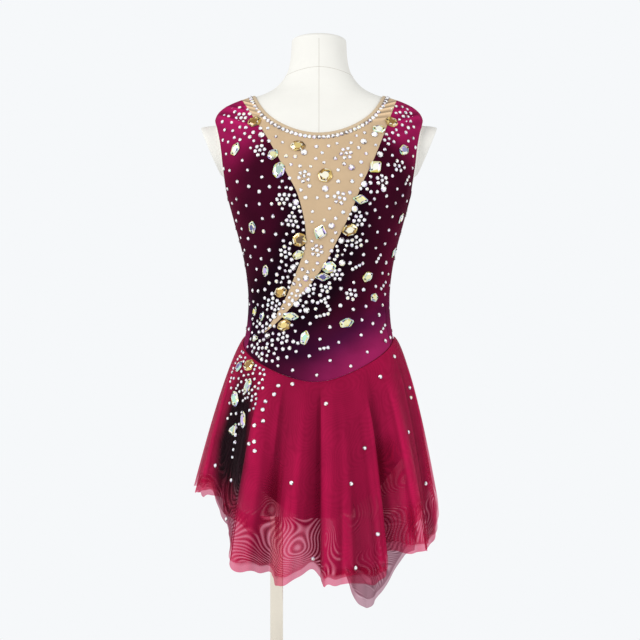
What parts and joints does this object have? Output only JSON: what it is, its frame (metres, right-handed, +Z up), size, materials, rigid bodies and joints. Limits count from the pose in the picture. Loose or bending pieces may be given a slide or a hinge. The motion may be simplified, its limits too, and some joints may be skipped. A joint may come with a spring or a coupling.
{
  "type": "figure skating dress on a dress form",
  "caption": "Sleeveless skating dress with a nude mesh inset, sewn-on stones and a short fluted skirt with an uneven hem, standing on a limbless dress form with a pole and round base.",
  "frame": {"origin": "centre of the stand's round base at floor level, under the middle of the dress", "axes": "+Z up, the front of the dress faces -Y, +X to the viewer's right as seen from the front"},
  "size_m": [0.4118, 0.3904, 1.481],
  "materials": {
    "wine_stretch_cloth": "smooth stretch cloth, wine fading to near black",
    "nude_mesh": "fine matt stretch mesh",
    "crimson_mesh": "thin see-through mesh in layers",
    "crimson_cloth": "matt stretch cloth",
    "cream_canvas": "smooth canvas pulled over the form",
    "bright_steel": "polished"
  },
  "bodies": {
    "root": {"bodice_front": "wine_stretch_cloth", "front_mesh_inset": "nude_mesh", "bodice_back": "wine_stretch_cloth", "neck_binding": "nude_mesh", "briefs": "crimson_cloth", "skirt_front_upper": "crimson_mesh", "skirt_back_upper": "crimson_mesh", "skirt_front_under": "crimson_mesh", "skirt_back_under": "crimson_mesh", "form_torso": "cream_canvas", "stand_pole": "bright_steel", "stand_base": "bright_steel"}
  },
  "joints": []
}
